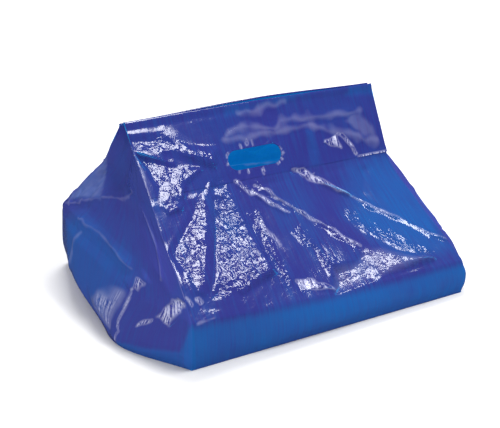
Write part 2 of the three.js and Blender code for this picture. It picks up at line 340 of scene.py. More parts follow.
# Facets and thin creases of the sides and the back, of the same kind
BACK_WEDGE_LEFT = on("back", (0.3, 0.68), (0.1, 0.3), (0.28, 0.26), (0.36, 0.4))
BACK_WEDGE_RIGHT = on("back", (0.66, 0.68), (0.6, 0.36), (0.74, 0.27), (0.92, 0.32))
BACK_TOP = on("back", (0.02, 0.92), (0.2, 0.9), (0.3, 0.84), (0.1, 0.8))
BACK_LINES = (
    on("back", (0.45, 0.68), (0.5, 0.5), (0.47, 0.3)),
    [("back", 0.8, 0.66), ("back", 0.95, 0.4), ("left", 0.1, 0.28)],
    [("back", 0.15, 0.66), ("back", 0.05, 0.45), ("right", 0.95, 0.3)],
    on("back", (0.2, 0.2), (0.5, 0.23), (0.85, 0.2)),
)
SIDE_LINES = (
    on("left", (0.06, 0.27), (0.2, 0.37), (0.36, 0.48)),
    on("left", (0.30, 0.30), (0.45, 0.33), (0.62, 0.31)),
    on("left", (0.62, 0.70), (0.50, 0.60), (0.36, 0.49)),
    on("left", (0.80, 0.66), (0.86, 0.50), (0.84, 0.36)),
    on("left", (0.20, 0.06), (0.33, 0.16), (0.36, 0.25)),
    on("right", (0.2, 0.24), (0.45, 0.32), (0.55, 0.6)),
    on("right", (0.95, 0.2), (0.62, 0.4)),
    on("right", (0.3, 0.05), (0.35, 0.2)),
)

# Folds that widen downwards below the back handle, as the shares across of their heads and feet
BACK_FAN = ((0.06, 0.03), (0.42, 0.36), (0.55, 0.62), (0.9, 0.97))

# Painted highlights: the film is painted pale where its hard creases would catch light
HEM_TRIANGLE = on("front", (0.73, 0.80), (0.80, 0.82), (0.80, 0.77))
HEM_SLIVER = on("front", (0.80, 0.83), (0.82, 0.82), (0.87, 0.74), (0.86, 0.74))
CORNER_FACET = on("front", (0.85, 0.87), (0.92, 0.90), (0.96, 0.83), (0.96, 0.78), (0.90, 0.82))
SIDE_ARC = on("left", (0.66, 0.01), (0.67, 0.07), (0.65, 0.20), (0.68, 0.29))
SIDE_ARC_HEAD = on("left", (0.66, 0.24), (0.66, 0.29), (0.71, 0.30), (0.68, 0.23))
SIDE_HATCH = on("left", (0.50, 0.09), (0.53, 0.13), (0.63, 0.17), (0.61, 0.06))
SIDE_SPARK = on("left", (0.81, 0.17), (0.85, 0.23), (0.94, 0.29), (0.99, 0.28), (0.88, 0.16))
SIDE_TRIANGLE = on("left", (0.02, 0.30), (0.02, 0.72), (0.35, 0.48))


# Flat facets, as (outline, degrees to the left, degrees towards lying flat, soft edge)
FACETS = (
    (WEDGE_LEFT, 7, 4, 14), (WEDGE_RIGHT, 9, 3, 14), (RAY_HEAD, 7, 6, 13), (SHOULDER_SHINE, 7, 1, 18),
    (SHOULDER_SPARK, 6, 2, 13), (TOP_BAND, 2, 7, 14), (TOP_TRIANGLE, 5, 7, 9), (SIDE_SPARK, 4, 10, 9),
    (BACK_WEDGE_LEFT, -6, 5, 14), (BACK_WEDGE_RIGHT, 6, 5, 14),
)

# Folds, as (line, height, width). A negative height is a valley.
CREASES = (
    [(ray, 1.1, 6) for ray in RAYS]
    + [(spark, -1.1, 12) for spark in SLOPE_SPARKS]
    + [(streak, 1.0, 9) for streak in STREAKS]
    + [(line, 1.4, 9) for line in BACK_LINES + SIDE_LINES]
    + [
        (on("front", (0.25, 0.73), (0.20, 0.56), (0.09, 0.30)), -2.5, 7),
        (on("front", (0.90, 0.72), (0.80, 0.56)), -1.5, 14),
        (on("front", (0.93, 0.97), (0.97, 0.75)), 1.5, 12),
        (on("front", (0.68, 0.86), (0.69, 0.78), (0.66, 0.71)), 1.6, 12),
        (on("left", (0.01, 0.22), (0.12, 0.37), (0.36, 0.49)), 5, 36),
        (on("left", (0.66, 0.0), (0.67, 0.07), (0.64, 0.20), (0.72, 0.33)), 4, 20),
        (on("left", (0.66, 0.0), (0.83, 0.04), (0.97, 0.08)), 2.5, 10),
        (on("left", (0.99, 0.19), (0.97, 0.13), (0.97, 0.0)), 2.5, 9),
        (on("left", (0.36, 0.49), (0.62, 0.72)), 4, 36),
        (on("left", (0.45, 0.08), (0.50, 0.33)), -4, 26),
        (on("left", (0.04, 0.25), (0.30, 0.30), (0.62, 0.32)), 3.5, 22),
        (on("left", (0.1, 0.62), (0.3, 0.36)), -3, 24),
        (on("right", (0.05, 0.08), (0.2, 0.24), (0.45, 0.32)), 5, 34),
        (on("right", (0.45, 0.32), (0.55, 0.68)), 5, 40),
        (on("right", (0.95, 0.2), (0.62, 0.4)), 5, 32),
        (on("right", (0.56, 0.0), (0.6, 0.28)), -4, 30),
        (on("right", (0.2, 0.25), (0.3, 0.62)), -3, 24),
        (on("back", (0.02, 0.24), (0.3, 0.21), (0.7, 0.22), (0.98, 0.27)), 3, 16),
        (on("back", (0.1, 0.9), (0.5, 0.86), (0.9, 0.91)), 2, 9),
    ]
)


def folds(film):
    """The facets and folds listed above."""
    relief = np.zeros_like(film.x)
    for places, left, flat, feather in FACETS:
        relief += film.facet(places, left, flat, feather)
    for places, height, width in CREASES:
        relief += film.path(places, height, width)
    for head, foot in BACK_FAN:
        relief += film.ridge(("back", head, 0.68), ("back", foot, 0.3), 4, 12, end_width=26)
    return relief


# Random creases in three sizes, each with its length, height, width and how many there are
CRUMPLES = ((120, 1.8, 26, 70), (60, 0.7, 12, 200), (26, 0.3, 6, 400))


def crumple(film):
    """Random creases all over, fainter near the front right fold, where the film is pulled tight."""
    rng = np.random.default_rng(SEED)
    relief = np.zeros_like(film.x)
    for length, height, width, count in CRUMPLES:
        for _ in range(count):
            middle = np.array([rng.uniform(0, AROUND), rng.uniform(0, HEIGHT)])
            turn = rng.uniform(0, math.pi)
            half = rng.uniform(0.4, 1.0) * length / 2
            tall = rng.uniform(-1, 1) * height
            wide = rng.uniform(0.6, 1.4) * width
            dx, dy = film.offset(middle)
            near = (np.abs(dx) < half + wide) & (np.abs(dy) < half + wide)
            dx, dy = dx[near], dy[near]
            along = dx * math.cos(turn) + dy * math.sin(turn)
            off = dy * math.cos(turn) - dx * math.sin(turn)
            inside = smooth(1.2 * (1 - np.abs(along) / half))
            relief[near] += tall * inside * np.maximum(0, 1 - np.abs(off) / wide)
    relief += 1.6 * value_noise(film, 70, SEED + 1) + 0.4 * value_noise(film, 30, SEED + 2)
    stretched = film.near([("front", 1.0, 0.2), ("front", 1.0, LEVELS[NECK])])
    return relief * (0.15 + 0.85 * smooth(stretched / 110))


# Where the film is finely crinkled, as (outline, strength, soft edge)
CRINKLED = (
    [(places, 0.8, 14) for places in (WEDGE_LEFT, TOP_BAND, TOP_TRIANGLE, SHOULDER_SHINE)]
    + [(WEDGE_RIGHT, 1.1, 14)]
    + [(places, 1.0, 8) for places in (
        RAY_HEAD, SHOULDER_SPARK, HEM_TRIANGLE, HEM_SLIVER, SIDE_SPARK, SIDE_HATCH)]
    + [(places, 0.8, 14) for places in (BACK_WEDGE_LEFT, BACK_WEDGE_RIGHT, BACK_TOP)]
)

# Painted highlights: pale colour put on the film where it would catch light, as (outline, strength, soft
# edge)
PAINTED_HIGHLIGHT_AREAS = (
    (RAY_HEAD, 0.9, 5), (SHOULDER_SPARK, 0.8, 5), (HEM_TRIANGLE, 0.95, 4), (HEM_SLIVER, 1.0, 4),
    (CORNER_FACET, 0.12, 10), (SIDE_ARC_HEAD, 0.75, 8), (SIDE_HATCH, 0.55, 14), (SIDE_SPARK, 0.9, 8),
    (SIDE_TRIANGLE, 0.15, 20), (SHOULDER_SHINE, 0.1, 16),
)

# and as (line, strength, width)
PAINTED_HIGHLIGHT_LINES = (
    [(ray, 0.8, 4.5) for ray in RAYS[:2]] + [(RAYS[2], 0.5, 3.5)]
    + [(streak, 0.16, 11) for streak in STREAKS]
    + [(line, 0.2, 7) for line in BACK_LINES]
    + [(line, 0.14, 7) for line in SIDE_LINES]
    + [
        (SIDE_ARC, 0.8, 4),
        (on("front", (0.36, 0.55), (0.40, 0.44)), 0.8, 4),
        (on("left", (0.75, 0.12), (0.79, 0.15)), 0.8, 4),
        (on("front", (0.01, 0.31), (0.02, 0.27)), 0.9, 4),
        (on("front", (0.04, 0.29), (0.05, 0.27)), 0.9, 5),
        (on("front", (0.02, 0.19), (0.08, 0.20)), 0.3, 5),
        (on("front", (0.0, 0.91), (0.0, 0.30)), 0.28, 3.5),
    ]
)

# Painted light: where the film is painted lighter for the floor's reflection and for light let through it,
# as (outline, strength, soft edge)
PAINTED_LIGHT_AREAS = (
    (on("front", (-0.01, 0.0), (1.02, 0.0), (1.02, 0.17), (-0.01, 0.18)), 0.6, 18),
    (on("front", (0.80, 0.70), (1.02, 0.72), (1.02, 0.26), (0.80, 0.28), (0.70, 0.5)), 0.5, 50),
    (on("front", (0.37, 0.96), (0.39, 1.0), (0.70, 1.0), (0.62, 0.98)), 0.4, 12),
    (on("front", (0.88, 0.97), (0.90, 1.0), (1.0, 1.0), (0.99, 0.96)), 0.5, 12),
    (on("front", (0.67, 0.86), (0.71, 0.86), (0.70, 0.72), (0.65, 0.72)), 0.35, 10),
    (on("left", (0.02, 0.1), (0.3, 0.34), (0.62, 0.36), (0.6, 0.05)), 0.6, 60),
    (on("left", (0.66, -0.01), (0.67, 0.02), (0.83, 0.05), (0.95, 0.08), (0.97, 0.13),
        (1.0, 0.19), (1.01, -0.01)), 0.6, 8),
    (SIDE_TRIANGLE, 0.35, 16),
    (on("right", (0, 0), (1, 0), (1, 0.2), (0, 0.2)), 0.3, 40),
    (on("back", (0, 0), (1, 0), (1, 0.16), (0, 0.16)), 0.3, 30),
)


def crinkle_map(film):
    """How finely crinkled the film is: 0 is smooth and 1 is crinkled all over."""
    crinkle = 0.1 + 0.08 * value_noise(film, 45, SEED + 4)
    film = film.ragged(5, 16, SEED + 8)
    for places, strength, feather in CRINKLED:
        crinkle = np.maximum(crinkle, strength * film.area(places, feather))
    for ray in RAYS:
        crinkle = np.maximum(crinkle, film.path(ray, 1.5, 9))
    for spark in SLOPE_SPARKS:
        crinkle = np.maximum(crinkle, film.path(spark, 1.4, 16))
    return np.maximum(crinkle, 0.03)


def painted_highlight_map(film):
    """Painted highlights: how much pale colour is mixed in where the film would catch light. 0 is none, and
    from about 0.5 it is mottled.
    """
    painted_highlight = np.zeros_like(film.x)
    uneven = 0.5 + 0.5 * value_noise(film, 13, SEED + 5)
    film = film.ragged(4, 14, SEED + 10)
    for places, strength, feather in PAINTED_HIGHLIGHT_AREAS:
        painted_highlight = np.maximum(painted_highlight, strength * film.area(places, feather) * (0.65 + 0.6 * uneven))
    for places, strength, width in PAINTED_HIGHLIGHT_LINES:
        line = np.clip(1.1 - film.near(places) / (width * (0.25 + 0.75 * uneven)), 0, 1)
        painted_highlight = np.maximum(painted_highlight, strength * line * (0.5 + 0.7 * uneven))
    return painted_highlight


def tone_and_painted_light_map(film):
    """How light the film looks: random tone plus painted light, where the film is painted lighter for the
    floor's reflection and for light let through it. 0 is deep ultramarine and 1 is mid-blue.
    """
    tone_and_painted_light = 0.10 + 0.12 * value_noise(film, 60, SEED + 3)
    for places, strength, feather in PAINTED_LIGHT_AREAS:
        tone_and_painted_light += strength * film.area(places, feather)
    return np.clip(tone_and_painted_light, 0, 1)


# --- The skin
HINGES = {joint["child"]: joint for joint in frame["joints"]}
FILM = 0.1        # a film's thickness, drawn thicker than the real 0.05 mm
FLOOR_GAP = 0.1   # below the lowest film
FOLD_CALM = 9     # relief is fainter this close to a neck fold
FLOOR_CALM = 12   # it fades out this close to the floor
MOUTH_CALM = 20   # and it is fainter this close to the mouth


class Skin:
    """The bag's outer surface as a grid, in millimetres, with its directions and its maps."""

    def __init__(self, cell):
        base, self.rows, self.neck, self.spans = base_grid(cell)
        pinned = np.zeros(base.shape[:2])
        pinned[:, [0, -1]] = 1
        pinned[:, self.neck] = 1
        base = relax(base, 6, pinned)
        self.film = film = Film(self.rows, self.spans)
        relief = folds(film) + crumple(film)
        self.handles = {}
        for side in ("front", "back"):
            start, end = self.spans[side]
            handle = Handle(base, film, side, np.arange(start, end))
            self.handles[side] = handle
            relief += handle_relief(film, handle.place)
        fold = film.y[:, [self.neck]]
        relief *= 0.25 + 0.75 * smooth(np.abs(film.y - fold) / FOLD_CALM)
        relief *= smooth(film.y / FLOOR_CALM)
        relief *= 1 - 0.6 * smooth(1 - (HEIGHT - film.y) / MOUTH_CALM)
        self.points = base + relief[..., None] * grid_normals(base)
        self.points[..., 2] = np.maximum(self.points[..., 2], FILM + FLOOR_GAP)
        self.points = relax(self.points, 1, pinned)
        self.normals = grid_normals(self.points)
        # Painted highlights: pale colour where the film would catch light
        painted_highlight = painted_highlight_map(film)
        for handle in self.handles.values():
            painted_highlight = np.maximum(painted_highlight, hole_highlight_dashes(film, handle.place))
        self.maps = np.stack([tone_and_painted_light_map(film), crinkle_map(film), painted_highlight], axis=-1)

    def columns(self, side, low=0.0, high=1.0):
        """Column numbers of a side between two shares of its width, both ends included."""
        start, end = self.spans[side]
        numbers = np.arange(start + round(low * (end - start)), start + round(high * (end - start)) + 1)
        return numbers % len(self.points)

    def row(self, share):
        """Number of the row nearest a share of the height."""
        return int(np.argmin(np.abs(self.rows - share)))

    def layer(self, columns, rows):
        """The part of the skin in some columns and rows, as a sheet of film."""
        pick = np.ix_(columns, rows)
        x = self.film.x[pick]
        if columns[0] > columns[-1]:
            x[x < AROUND / 2] += AROUND
        layer = Layer(self.points[pick], self.maps[pick], x, self.film.y[pick])
        layer.normals = self.normals[pick]
        return layer


class Layer:
    """One sheet of film: its outer points as a grid, its maps and its places on the flat film."""

    def __init__(self, points, maps, x, y, thick=FILM):
        self.points, self.maps = points, maps
        self.x, self.y = x, y
        self.thick = thick
        self.keep = np.ones((points.shape[0] - 1, points.shape[1] - 1), bool)
        self.refresh()

    def lift(self, height):
        """Moves the sheet outwards, by one height or by a height for each point."""
        self.points += self.normals * (height[..., None] if np.ndim(height) else height)

    def refresh(self):
        """Works the directions out again from the points."""
        around, up = np.gradient(self.points, axis=0), np.gradient(self.points, axis=1)
        normals = np.cross(around, up)
        self.normals = normals / np.maximum(np.linalg.norm(normals, axis=-1, keepdims=True), 1e-9)

    def build(self, name, outside, inside):
        """A closed thin shell of the kept cells: film outside, film inside and a rim at its edges."""
        tall = self.points.shape[1]
        c, r = np.nonzero(self.keep)
        first = c * tall + r
        outer = np.stack([first, first + tall, first + tall + 1, first + 1], axis=1)
        used = np.unique(outer)
        number = np.zeros(self.points.shape[0] * tall, int)
        number[used] = np.arange(len(used))
        outer = number[outer]
        points = self.points.reshape(-1, 3)[used]
        normals = self.normals.reshape(-1, 3)[used]
        count = len(used)
        rims = rim_faces(outer, count)
        faces = np.concatenate([outer, outer[:, ::-1] + count, rims])
        places = np.concatenate([points, points - normals * self.thick]) / 1000
        mesh = bpy.data.meshes.new(name)
        mesh.from_pydata(places.tolist(), [], faces.tolist())
        mesh.materials.append(outside)
        mesh.materials.append(inside)
        slots = np.repeat([0, 1, 0], [len(outer), len(outer), len(rims)])
        mesh.polygons.foreach_set("material_index", slots)
        mesh.polygons.foreach_set("use_smooth", np.ones(len(faces), bool))
        for number, key in enumerate(("tone_and_painted_light", "crinkle", "painted_highlight")):
            values = np.tile(self.maps[..., number].reshape(-1)[used], 2).astype(np.float32)
            mesh.attributes.new(key, "FLOAT", "POINT").data.foreach_set("value", values)
        laid = np.stack([self.x.reshape(-1)[used], self.y.reshape(-1)[used]], axis=1) / 1000
        corners = np.tile(laid, (2, 1))[faces.reshape(-1)]
        mesh.uv_layers.new(name="film").data.foreach_set("uv", corners.reshape(-1).astype(np.float32))
        mesh.update()
        flat = np.zeros(len(faces) * 3, np.float32)
        mesh.polygons.foreach_get("normal", flat)
        directions = np.concatenate([normals, -normals])[faces.reshape(-1)]
        directions[-4 * len(rims):] = np.repeat(flat.reshape(-1, 3)[-len(rims):], 4, axis=0)
        mesh.normals_split_custom_set(directions.tolist())
        piece = bpy.data.objects.new(name, mesh)
        bpy.context.scene.collection.objects.link(piece)
        return piece


def rim_faces(outer, count):
    """Faces that join a sheet's outer edge to its inner edge. Inner points follow the outer ones."""
    starts, ends = outer.reshape(-1), np.roll(outer, -1, axis=1).reshape(-1)
    keys = starts.astype(np.int64) * count + ends
    twins = ends.astype(np.int64) * count + starts
    edge = ~np.isin(keys, twins)
    a, b = starts[edge], ends[edge]
    return np.stack([b, a, a + count, b + count], axis=1)


# --- Materials
def linear(red, green, blue):
    """Scene-linear colour of a screen colour given from 0 to 255."""
    screen = (red, green, blue)
    return (*[((v / 255 + 0.055) / 1.055) ** 2.4 if v > 10 else v / 3295 for v in screen], 1)


class Nodes:
    """Short ways to add and join shader nodes."""

    def __init__(self, name):
        self.material = bpy.data.materials.new(name)
        self.material.use_nodes = True
        self.tree = self.material.node_tree
        self.shader = self.tree.nodes["Principled BSDF"]
        self.output = self.tree.nodes["Material Output"]

    def add(self, kind, values=None, **settings):
        node = self.tree.nodes.new(kind)
        for key, value in settings.items():
            setattr(node, key, value)
        for key, value in (values or {}).items():
            self.feed(value, node.inputs[key])
        return node

    def feed(self, value, socket):
        """Links a node's output to a socket, or sets the socket to a plain value."""
        if isinstance(value, bpy.types.NodeSocket):
            self.tree.links.new(value, socket)
        else:
            socket.default_value = value

    def plus(self, a, b):
        return self.add("ShaderNodeMath", {0: a, 1: b}, operation="ADD").outputs[0]

    def times(self, a, b):
        return self.add("ShaderNodeMath", {0: a, 1: b}, operation="MULTIPLY").outputs[0]

    def attribute(self, name):
        return self.add("ShaderNodeAttribute", attribute_name=name).outputs["Fac"]

    def mix(self, share, a, b):
        node = self.add("ShaderNodeMix", data_type="RGBA")
        for value, key in ((share, 0), (a, 6), (b, 7)):
            self.feed(value, node.inputs[key])
        return node.outputs[2]

    def ramp(self, value, low, high):
        """0 below low, 1 above high and straight between them."""
        node = self.add("ShaderNodeMapRange", {0: value, 1: low, 2: high})
        return node.outputs[0]

    def noise(self, place, scale, detail, roughness=0.5):
        values = {"Vector": place, "Scale": scale, "Detail": detail, "Roughness": roughness}
        return self.add("ShaderNodeTexNoise", values).outputs[0]


def film_height(n, uv, crinkled):
    """Height of the film's fine crinkles, where it is crinkled."""
    patchy = n.ramp(n.noise(uv, 55, 2), 0.35, 0.62)
    shift = n.add("ShaderNodeTexNoise", {"Vector": uv, "Scale": 90.0}).outputs["Color"]
    warp = n.add("ShaderNodeVectorMath", {0: shift, 1: (0.014, 0.014, 0.0), 2: uv}, operation="MULTIPLY_ADD")
    cells = n.add("ShaderNodeTexVoronoi", {"Vector": warp.outputs[0], "Scale": 150.0}, feature="F1")
    broad = n.add("ShaderNodeTexVoronoi", {"Vector": warp.outputs[0], "Scale": 70.0}, feature="F1")
    height = n.times(n.noise(uv, 230, 2), 0.4)
    height = n.plus(height, n.times(cells.outputs[0], 0.55))
    height = n.times(height, n.plus(0.3, n.times(patchy, 1.3)))
    height = n.plus(height, n.times(broad.outputs[0], 0.8))
    return n.times(height, crinkled)


def film_colour(n, uv, deep, light, lines):
    """Two blues in soft clouds, the lighter blue partly painted light, and painted highlights: pale mottled
    colour along creases.
    """
    painted_highlight = n.attribute("painted_highlight")
    share = n.plus(n.attribute("tone_and_painted_light"), n.times(n.plus(n.noise(uv, 14, 4), -0.5), 0.5))
    share = n.plus(share, n.times(n.plus(lines, -0.5), 0.9))
    blue = n.mix(n.ramp(share, 0, 1), linear(*deep), linear(*light))
    grain = n.plus(n.times(n.noise(uv, 130, 4, roughness=0.7), 0.7), lines)
    # The painted highlights are broken into a mottle
    highlight_mottle = n.ramp(grain, 0.78, 0.98)
    patchy = n.add("ShaderNodeMix", {0: n.ramp(painted_highlight, 0.2, 0.6), 2: 0.75, 3: highlight_mottle}).outputs[0]
    return n.mix(n.times(painted_highlight, patchy), blue, linear(*PAINTED_HIGHLIGHT_COLOUR))


FILM_IOR = 1.52
FILM_SPECULAR = 0.6
CRINKLE_HEIGHT = 0.0012   # in metres
LINE_STRETCH = 0.05       # the drawing lines' noise is scaled by this up the bag, so they run upwards


def film_material(name, deep, light, glow, crinkle=1.0, see_through=0.16, gloss=0.1, painted_glow=0.0):
    """Polythene film: two blues, a see-through share, sharp gloss, crinkles and drawing lines. Given a glow
    strength, the film also gives off light of its own: painted light standing in for light let in through
    the film.
    """
    n = Nodes(name)
    uv = n.add("ShaderNodeUVMap", uv_map="film").outputs[0]
    crinkled = n.attribute("crinkle")
    stretched = n.add("ShaderNodeMapping", {"Vector": uv, "Scale": (1.0, LINE_STRETCH, 1.0)}).outputs[0]
    lines = n.noise(stretched, 330, 2)
    colour = film_colour(n, uv, deep, light, lines)
    n.feed(colour, n.shader.inputs["Base Color"])
    n.shader.inputs["IOR"].default_value = FILM_IOR
    n.shader.inputs["Specular IOR Level"].default_value = FILM_SPECULAR
    # Painted glow: the film gives off light of its own, for light let in through it
    if painted_glow:
        n.feed(colour, n.shader.inputs["Emission Color"])
        n.shader.inputs["Emission Strength"].default_value = painted_glow
    dull = n.ramp(n.noise(uv, 30, 3), 0.3, 0.7)
    n.feed(n.plus(gloss, n.times(dull, 0.06)), n.shader.inputs["Roughness"])
    height = n.plus(film_height(n, uv, crinkled), n.times(lines, 0.11))
    bump = n.add("ShaderNodeBump", {"Height": height, "Strength": 1.0, "Distance": CRINKLE_HEIGHT * crinkle})
    n.feed(bump.outputs[0], n.shader.inputs["Normal"])
    through = n.add("ShaderNodeBsdfTranslucent", {"Color": linear(*glow)})
    mixed = n.add("ShaderNodeMixShader", {0: see_through, 1: n.shader.outputs[0], 2: through.outputs[0]})
    n.feed(mixed.outputs[0], n.output.inputs["Surface"])
    return n.material


# The last colour is the pale of the painted highlights; the second is the lighter blue, used in part for
# painted light
DEEP, LIGHT, GLOW, PAINTED_HIGHLIGHT_COLOUR = (50, 53, 130), (26, 96, 168), (28, 108, 186), (220, 221, 248)
MATERIALS = {
    "panel": film_material("film_panel", DEEP, LIGHT, GLOW),
    # The gussets are the same film, painted lighter where the lamps light the sides less: painted light
    "gusset": film_material("film_gusset", (64, 68, 152), (38, 98, 176), GLOW),
    "hem": film_material("film_hem", (47, 50, 129), (28, 82, 154), GLOW),
    "patch": film_material("film_patch", (30, 90, 180), (20, 120, 200), GLOW, crinkle=0.7),
    "base": film_material("film_base", (48, 84, 172), (40, 100, 188), GLOW, crinkle=0.7, gloss=0.3),
    "seam": film_material("weld_seam", (40, 56, 146), (40, 80, 168), GLOW, crinkle=0.3, gloss=0.25),
    # Painted light: the inside is painted aqua and glows, standing in for light let in through the film
    "inside": film_material("film_inside_painted_glow", (10, 128, 194), (26, 150, 206), (10, 134, 210), see_through=0.3,
                            painted_glow=0.55),
}


def panel(skin, name, side, rows, node_names, look):
    """One panel of film that stays with the bag's body."""
    piece = skin.layer(skin.columns(side), rows).build(name, MATERIALS[look], MATERIALS["inside"])
    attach(piece, "bag_body")
    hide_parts(*node_names)


def body_film(skin):
    """The film of the bag's body, and of the neck's sides. Flat sizes and areas are in metres."""
    body, neck = np.arange(skin.neck + 1), np.arange(skin.neck, len(skin.rows))
    for side, flat, area in (("front", (0.46, 0.27), 0.112), ("back", (0.49, 0.24), 0.103)):
        nodes = [f"{side}_low_wall", f"{side}_slope_panel"]
        panel(skin, f"{side}_film", side, body, nodes, "panel")
    for side, flat, area in (("left", (0.40, 0.27), 0.069), ("right", (0.38, 0.25), 0.053)):
        nodes = [f"{side}_gusset_front", f"{side}_gusset_back"]
        panel(skin, f"{side}_gusset_film", side, body, nodes, "gusset")
    for side, flat, area in (("left", (0.15, 0.12), 0.0086), ("right", (0.13, 0.12), 0.0061)):
        nodes = [f"{side}_neck_gusset_front", f"{side}_neck_gusset_back"]
        panel(skin, f"{side}_neck_film", side, neck, nodes, "gusset")


# --- Bag top: film, turned-over top and handle patch, punched through
HEM_EDGE = 12       # loose lower edge of the turned-over top, from the neck fold
HEM_GAP = 0.5       # between the turned-over top and the film behind it
HEM_ROLL = 2.6      # the same at the mouth, where the film turns over
HEM_WAVE = 0.8      # waves of the loose edge, at the right
HEM_FLARE = 1.5     # how far the loose edge stands off at the right end
HEM_HOLE = 0.4      # the turned-over top's hole is this much larger all round
PATCH_DEPTH = 0.8   # of the patch behind the film's outside
HOLE = {"half": 31, "radius": 15}
PATCH = {"half_width": 84, "half_height": 33, "corner": 10, "shift": 7}
SPLIT = {"front": 0.64, "back": 0.36}  # the top's two halves meet here, clear of the hand hole


def box_middle(name):
    """Middle of one of the record's openings, in millimetres."""
    for opening in frame["record"]["physics"]["openings"]:
        if opening["name"] == name:
            return np.mean(np.array(opening["box_m"]), axis=0) * 1000
    raise ValueError(name)


class Handle:
    """Where a hand hole lies on the film, with the film's own directions across and up."""

    def __init__(self, skin_points, film, side, columns):
        middle = box_middle(side + "_hand_hole")
        away = np.linalg.norm(skin_points[columns] - middle, axis=-1)
        c, r = np.unravel_index(np.argmin(away), away.shape)
        c = columns[c]
        self.place = np.array([film.x[c, r], film.y[c, r]])
        self.point = skin_points[c, r]
        axis = np.array(HINGES[side + "_lip"]["axis"], float)
        self.across = axis / np.linalg.norm(axis)
        up = skin_points[c, r + 6] - skin_points[c, r - 6]
        up -= self.across * (up @ self.across)
        self.up = up / np.linalg.norm(up)

    def local(self, points):
        """Points as distances across and up from the hole's middle."""
        away = points - self.point
        return away @ self.across, away @ self.up

    def hole(self, x, y, grow=0.0):
        """Distance outside the punched hole's outline."""
        return np.hypot(np.maximum(np.abs(x) - HOLE["half"], 0), y) - HOLE["radius"] - grow

    def patch(self, x, y):
        """Distance outside the reinforcement patch's outline."""
        corner = PATCH["corner"]
        dx = np.abs(x - PATCH["shift"]) - PATCH["half_width"] + corner
        dy = np.abs(y) - PATCH["half_height"] + corner
        outside = np.hypot(np.maximum(dx, 0), np.maximum(dy, 0))
        return outside + np.minimum(np.maximum(dx, dy), 0) - corner

    def trim(self, layer, distance, keep_inside):
        """Cuts a layer along an outline, and moves the nearest grid points onto it."""
        x, y = self.local(layer.points)
        d = distance(x, y)
        centre = (d[1:, 1:] + d[:-1, 1:] + d[1:, :-1] + d[:-1, :-1]) / 4
        kept = centre < 0 if keep_inside else centre > 0
        on_kept, on_cut = np.zeros(d.shape, bool), np.zeros(d.shape, bool)
        for a in (slice(0, -1), slice(1, None)):
            for b in (slice(0, -1), slice(1, None)):
                on_kept[a, b] |= kept & layer.keep
                on_cut[a, b] |= ~kept
        edge = on_kept & on_cut
        step = 0.05
        slope_x = (distance(x + step, y) - distance(x - step, y)) / (2 * step)
        slope_y = (distance(x, y + step) - distance(x, y - step)) / (2 * step)
        shift = -(d / np.maximum(slope_x**2 + slope_y**2, 0.2))[..., None]
        move = shift * (slope_x[..., None] * self.across + slope_y[..., None] * self.up)
        layer.points[edge] += move[edge]
        layer.keep &= kept


PUCKERS = 22
HIGHLIGHT_DASHES = 20


def handle_relief(film, place):
    """Short puckers round a hand hole."""
    dx, dy = film.offset(place)
    angle = np.arctan2(dy * 2, dx)
    away = np.maximum(np.hypot(np.maximum(np.abs(dx) - HOLE["half"], 0), dy) - HOLE["radius"], 0)
    rng = np.random.default_rng(SEED + 7)
    relief = np.zeros_like(film.x)
    for _ in range(PUCKERS):
        turn = rng.uniform(-math.pi, math.pi)
        off = np.abs((angle - turn + math.pi) % (2 * math.pi) - math.pi)
        width = rng.uniform(0.05, 0.12)
        reach = rng.uniform(8, 22)
        relief += rng.uniform(-1.3, 1.3) * np.maximum(0, 1 - off / width) * smooth(1 - away / reach)
    return relief


def hole_highlight_dashes(film, place):
    """Painted highlights: short pale dashes that point at a hand hole, where the punch's puckers would catch
    light.
    """
    rng = np.random.default_rng(SEED + 12)
    side = "front" if place[0] < SIDE_START["right"] else "back"
    painted_highlight = np.zeros_like(film.x)
    for _ in range(HIGHLIGHT_DASHES):
        turn = rng.uniform(-math.pi, math.pi)
        towards = np.array([math.cos(turn), math.sin(turn)])
        start = towards * (HOLE["radius"] + rng.uniform(2, 6)) + (HOLE["half"] * math.cos(turn), 0)
        end = start + rng.uniform(3, 9) * towards * (0.4, 1.0)
        line = [(side, (place[0] + x - SIDE_START[side]) / WIDTHS[side], (place[1] + y) / HEIGHT)
                for x, y in (start, end)]
        painted_highlight = np.maximum(painted_highlight, rng.uniform(0.3, 0.8) * np.clip(1.2 - film.near(line) / 1.9, 0, 1))
    return painted_highlight


def lip_halves(side):
    """Names and shares of the two halves of one side of the bag top, with the end that stays put."""
    split = SPLIT[side]
    if side == "front":
        return (("left", 0.0, split, "start"), ("right", split, 1.0, "end"))
    return (("right", 0.0, split, "start"), ("left", split, 1.0, "end"))


def bend(piece, skin, side):
    """Bakes the piece's placement into its mesh. The side's columns are looked up but not used."""
    columns = skin.columns(side)
    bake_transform(piece)


def bag_top(skin, side, handle):
    """One side of the bag top: film, turned-over top and patch, each punched through."""
    count = len(skin.rows)
    top_rows = np.arange(skin.neck, count)
    hem_rows = np.arange(skin.row(LEVELS[NECK] + HEM_EDGE / HEIGHT), count)
    films, hems = [], []
    for half, low, high, still_end in lip_halves(side):
        columns = skin.columns(side, low, high)
        layer = skin.layer(columns, top_rows)
        handle.trim(layer, handle.hole, keep_inside=False)
        film = layer.build(f"{side}_upper_film_{half}", MATERIALS["panel"], MATERIALS["inside"])
        hem = turned_over(skin, side, columns, hem_rows, handle, half)
        wide = WIDTHS[side] * (high - low) / 1000
        films.append((film, still_end, wide))
        hems.append((hem, still_end, wide))
    patch = handle_patch(skin, side, handle)
    for pieces, look, node in ((films, "film_panel", "upper_panel"), (hems, "film_hem", "hem")):
        for piece, still_end, wide in pieces:
            bend(piece, skin, side)
            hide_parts(f"{side}_{node}")
    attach(patch, side + "_lip")
    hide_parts(f"{side}_handle_patch")


